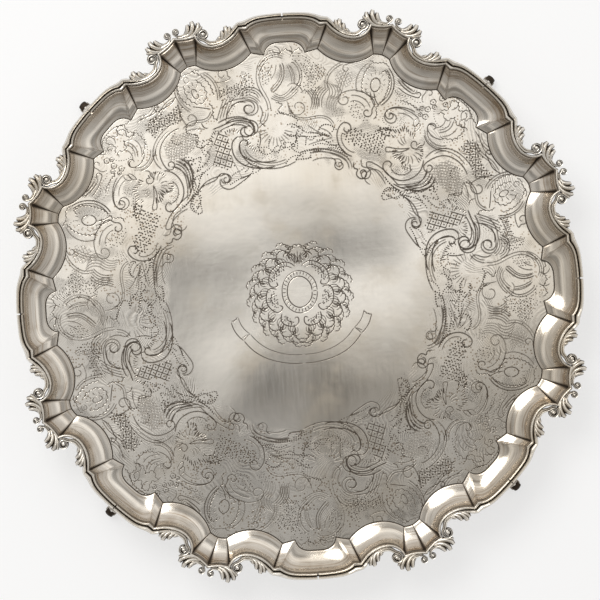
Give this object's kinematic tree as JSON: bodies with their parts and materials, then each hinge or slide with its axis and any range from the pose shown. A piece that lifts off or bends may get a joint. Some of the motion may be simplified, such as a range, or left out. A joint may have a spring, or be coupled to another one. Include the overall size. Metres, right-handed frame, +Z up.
{
  "type": "footed salver",
  "caption": "Round footed silver salver with a flat chased field, a fluted cavetto, an applied scroll and leaf border and cast scroll feet.",
  "frame": {"origin": "on the table plane, under the centre of the field", "axes": "+Z up out of the field; +X and +Y through the middles of plain bays of the border"},
  "size_m": [0.3902, 0.3902, 0.0357],
  "materials": {
    "sheet_silver": "worn hand-polished sterling sheet, flat-chased, with dark tarnish in the chasing and creases",
    "cast_silver": "cast and chased sterling, polished on its high points and oxidised in its hollows",
    "foot_silver": "cast sterling, softly polished, darker in the hollows"
  },
  "bodies": {
    "root": {"plate": "sheet_silver", "rim_casting_1": "cast_silver", "rim_casting_2": "cast_silver", "rim_casting_3": "cast_silver", "rim_casting_4": "cast_silver", "rim_casting_5": "cast_silver", "rim_casting_6": "cast_silver", "rim_casting_7": "cast_silver", "rim_casting_8": "cast_silver", "foot_1": "foot_silver", "foot_2": "foot_silver", "foot_3": "foot_silver", "foot_4": "foot_silver"}
  },
  "joints": []
}
